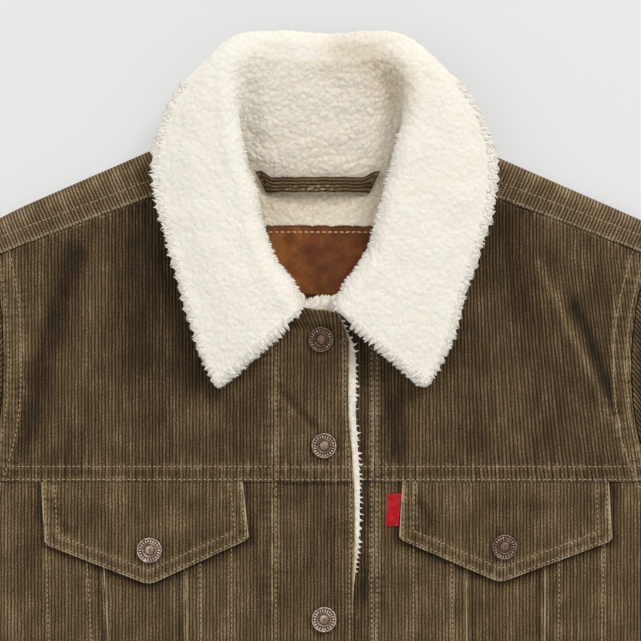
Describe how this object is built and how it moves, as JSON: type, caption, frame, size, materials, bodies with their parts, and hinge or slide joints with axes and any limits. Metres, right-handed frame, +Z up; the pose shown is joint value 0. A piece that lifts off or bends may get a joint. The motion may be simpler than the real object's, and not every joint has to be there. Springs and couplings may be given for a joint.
{
  "type": "sherpa lined jacket",
  "caption": "Corduroy trucker jacket with a sherpa collar and lining, buttoned to the neck and laid flat on its back",
  "frame": {"origin": "middle of the whole jacket, on the surface that it lies on", "axes": "+X across the jacket from the viewer's left to right, +Y from the hem to the collar, +Z up from the surface to the front"},
  "size_m": [1.2306, 0.6284, 0.0467],
  "materials": {
    "corduroy": "ribbed cotton corduroy, matt",
    "sherpa": "curly cream pile",
    "leather": "plain brown leather, semi matt",
    "copper": "antique copper tack button",
    "ribbon": "woven red ribbon"
  },
  "bodies": {
    "root": {"back_panel": "corduroy", "back_yoke": "corduroy", "chest_left": "corduroy", "chest_right": "corduroy", "front_center_left": "corduroy", "front_middle_left": "corduroy", "front_side_left": "corduroy", "front_center_right": "corduroy", "front_middle_right": "corduroy", "front_side_right": "corduroy", "placket_over": "corduroy", "placket_under": "corduroy", "flap_left": "corduroy", "flap_right": "corduroy", "waistband": "corduroy", "sleeve_upper_left": "corduroy", "sleeve_under_left": "corduroy", "sleeve_upper_right": "corduroy", "sleeve_under_right": "corduroy", "cuff_left": "corduroy", "cuff_right": "corduroy", "collar_top": "sherpa", "collar_under": "corduroy", "back_lining": "sherpa", "front_lining_left": "sherpa", "front_lining_right": "sherpa", "hanger_loop": "corduroy", "neck_patch": "leather", "side_tab": "ribbon", "front_button_1": "copper", "front_button_2": "copper", "front_button_3": "copper", "front_button_4": "copper", "front_button_5": "copper", "flap_button_left": "copper", "flap_button_right": "copper", "cuff_button_left": "copper", "cuff_button_right": "copper"}
  },
  "joints": []
}
